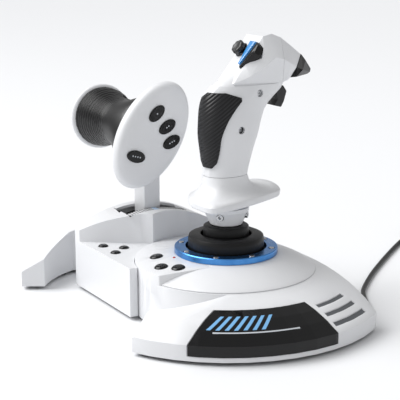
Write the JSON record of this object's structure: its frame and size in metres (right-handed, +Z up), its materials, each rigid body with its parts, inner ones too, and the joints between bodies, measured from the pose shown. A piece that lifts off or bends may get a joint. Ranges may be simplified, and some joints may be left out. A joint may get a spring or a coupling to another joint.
{
  "type": "flight joystick with throttle",
  "caption": "Flight joystick with a sprung, twisting grip on a round base, joined to a throttle lever module, both on one crescent-shaped foot, with a USB cord.",
  "frame": {"origin": "middle of the footprint of the two modules on the desk, without the cord", "axes": "+Z up, +Y away from the pilot, +X to the pilot's right"},
  "size_m": [0.343, 0.5083, 0.2312],
  "materials": {
    "white_plastic": "fine satin moulded white",
    "grey_plastic": "satin dark grey inlay",
    "black_plastic": "satin black moulding",
    "gloss_black": "polished black",
    "black_rubber": "matte moulded rubber",
    "blue_anodised": "turned and blue anodised",
    "blue_plastic": "glossy blue",
    "steel": "zinc plated",
    "silver_shaft": "turned bare metal",
    "cable": "soft PVC jacket"
  },
  "bodies": {
    "base": {"stick_base_top": "white_plastic", "stick_base_bottom": "black_plastic", "name_plate": "gloss_black", "inlay_bar_1": "grey_plastic", "inlay_bar_2": "grey_plastic", "inlay_bar_3": "grey_plastic", "cover_disc": "white_plastic", "collar_ring": "blue_anodised", "clamp_ring_screws": "steel", "gimbal_frame": "black_plastic", "centring_spring": "steel", "boot_lower": "black_rubber", "throttle_base_top": "white_plastic", "throttle_base_bottom": "black_plastic", "lever_bracket": "black_plastic", "joining_plate": "steel", "foot_1": "black_rubber", "foot_2": "black_rubber", "foot_3": "black_rubber", "foot_4": "black_rubber", "foot_5": "black_rubber", "strain_relief": "black_plastic", "usb_cord": "cable", "cord_coil": "cable", "usb_plug": "black_plastic", "usb_plug_shell": "steel"},
    "yoke": {"gimbal_yoke": "black_plastic"},
    "stick": {"stick_shaft": "silver_shaft", "lock_collar": "white_plastic", "lock_screw_1": "steel", "lock_screw_2": "steel", "boot_upper": "black_rubber"},
    "grip": {"hand_rest": "white_plastic", "handle_right": "white_plastic", "handle_left": "white_plastic", "grip_pad": "black_rubber", "head_shell": "white_plastic", "nose_shell": "white_plastic", "nose_claw": "gloss_black"},
    "trigger": {"trigger": "black_plastic"},
    "hat_block": {"hat_pivot": "black_plastic"},
    "hat": {"hat_switch": "black_plastic"},
    "blue_thumb_key": {"blue_key": "blue_plastic"},
    "black_thumb_key": {"black_key": "gloss_black"},
    "lever": {"lever_post": "white_plastic", "slot_shutter": "black_plastic", "throttle_saddle": "black_rubber", "throttle_end_disc": "white_plastic", "throttle_shield": "white_plastic"},
    "rocker": {"rudder_rocker": "black_plastic"},
    "deck_button_1": {"stick_button_1": "gloss_black"},
    "deck_button_2": {"stick_button_2": "gloss_black"},
    "deck_button_3": {"stick_button_3": "gloss_black"},
    "pad_button_1": {"throttle_button_1": "gloss_black"},
    "pad_button_2": {"throttle_button_2": "gloss_black"},
    "pad_button_3": {"throttle_button_3": "gloss_black"},
    "grip_button_1": {"throttle_grip_button_1": "gloss_black"},
    "grip_button_2": {"throttle_grip_button_2": "gloss_black"},
    "grip_button_3": {"throttle_grip_button_3": "gloss_black"},
    "grip_button_4": {"throttle_grip_button_4": "gloss_black"}
  },
  "joints": [
    {"name": "stick_pitch", "type": "hinge", "parent": "base", "child": "yoke", "pos_m": [0.04105, 0.0229, 0.028], "axis": [1, 0, 0], "range_deg": [-15, 15], "stiffness_Nm_per_rad": 2.5, "deforming": ["boot_lower", "boot_upper", "centring_spring"]},
    {"name": "stick_roll", "type": "hinge", "parent": "yoke", "child": "stick", "pos_m": [0.04105, 0.0229, 0.028], "axis": [0, 1, 0], "range_deg": [-11, 11], "stiffness_Nm_per_rad": 2.5, "deforming": ["boot_lower", "boot_upper", "centring_spring"]},
    {"name": "handle_twist", "type": "hinge", "parent": "stick", "child": "grip", "pos_m": [0.04105, 0.0229, 0.118], "axis": [0, 0, 1], "range_deg": [-20, 20], "stiffness_Nm_per_rad": 0.5},
    {"name": "trigger_pull", "type": "hinge", "parent": "grip", "child": "trigger", "pos_m": [0.04105, 0.0704, 0.1845], "axis": [1, 0, 0], "range_deg": [-12, 0], "stiffness_Nm_per_rad": 0.08, "springref_deg": 5.73},
    {"name": "hat_tilt_up_down", "type": "hinge", "parent": "grip", "child": "hat_block", "pos_m": [0.03455, 0.04043, 0.21786], "axis": [1, 0, 0], "range_deg": [-7, 7], "stiffness_Nm_per_rad": 0.03},
    {"name": "hat_tilt_sideways", "type": "hinge", "parent": "hat_block", "child": "hat", "pos_m": [0.03455, 0.04043, 0.21786], "axis": [0, 0.5974, 0.802], "range_deg": [-7, 7], "stiffness_Nm_per_rad": 0.03},
    {"name": "blue_thumb_press", "type": "slide", "parent": "grip", "child": "blue_thumb_key", "axis": [0, 0.802, -0.5974], "range_m": [0, 0.001], "stiffness_N_per_m": 300},
    {"name": "black_thumb_press", "type": "slide", "parent": "grip", "child": "black_thumb_key", "axis": [0, 0.802, -0.5974], "range_m": [0, 0.001], "stiffness_N_per_m": 300},
    {"name": "deck_press_1", "type": "slide", "parent": "base", "child": "deck_button_1", "axis": [0.0568, 0.141, -0.9884], "range_m": [0, 0.001], "stiffness_N_per_m": 300},
    {"name": "deck_press_2", "type": "slide", "parent": "base", "child": "deck_button_2", "axis": [-0.0077, 0.1519, -0.9884], "range_m": [0, 0.001], "stiffness_N_per_m": 300},
    {"name": "deck_press_3", "type": "slide", "parent": "base", "child": "deck_button_3", "axis": [-0.0414, 0.1463, -0.9884], "range_m": [0, 0.001], "stiffness_N_per_m": 300},
    {"name": "pad_press_1", "type": "slide", "parent": "base", "child": "pad_button_1", "axis": [0, 0, -1], "range_m": [0, 0.001], "stiffness_N_per_m": 300},
    {"name": "pad_press_2", "type": "slide", "parent": "base", "child": "pad_button_2", "axis": [0, 0, -1], "range_m": [0, 0.001], "stiffness_N_per_m": 300},
    {"name": "pad_press_3", "type": "slide", "parent": "base", "child": "pad_button_3", "axis": [0, 0, -1], "range_m": [0, 0.001], "stiffness_N_per_m": 300},
    {"name": "throttle_lever", "type": "hinge", "parent": "base", "child": "lever", "pos_m": [-0.06045, 0.0029, 0.013], "axis": [1, 0, 0], "range_deg": [-22, 16]},
    {"name": "grip_press_1", "type": "slide", "parent": "lever", "child": "grip_button_1", "axis": [-1, 0, 0], "range_m": [0, 0.001], "stiffness_N_per_m": 300},
    {"name": "grip_press_2", "type": "slide", "parent": "lever", "child": "grip_button_2", "axis": [-1, 0, 0], "range_m": [0, 0.001], "stiffness_N_per_m": 300},
    {"name": "grip_press_3", "type": "slide", "parent": "lever", "child": "grip_button_3", "axis": [-1, 0, 0], "range_m": [0, 0.001], "stiffness_N_per_m": 300},
    {"name": "grip_press_4", "type": "slide", "parent": "lever", "child": "grip_button_4", "axis": [-1, 0, 0], "range_m": [0, 0.001], "stiffness_N_per_m": 300},
    {"name": "rudder_rock", "type": "hinge", "parent": "lever", "child": "rocker", "pos_m": [-0.06045, -0.00832, 0.16319], "axis": [0, -0.7431, 0.6691], "range_deg": [-5, 5], "stiffness_Nm_per_rad": 0.05}
  ]
}
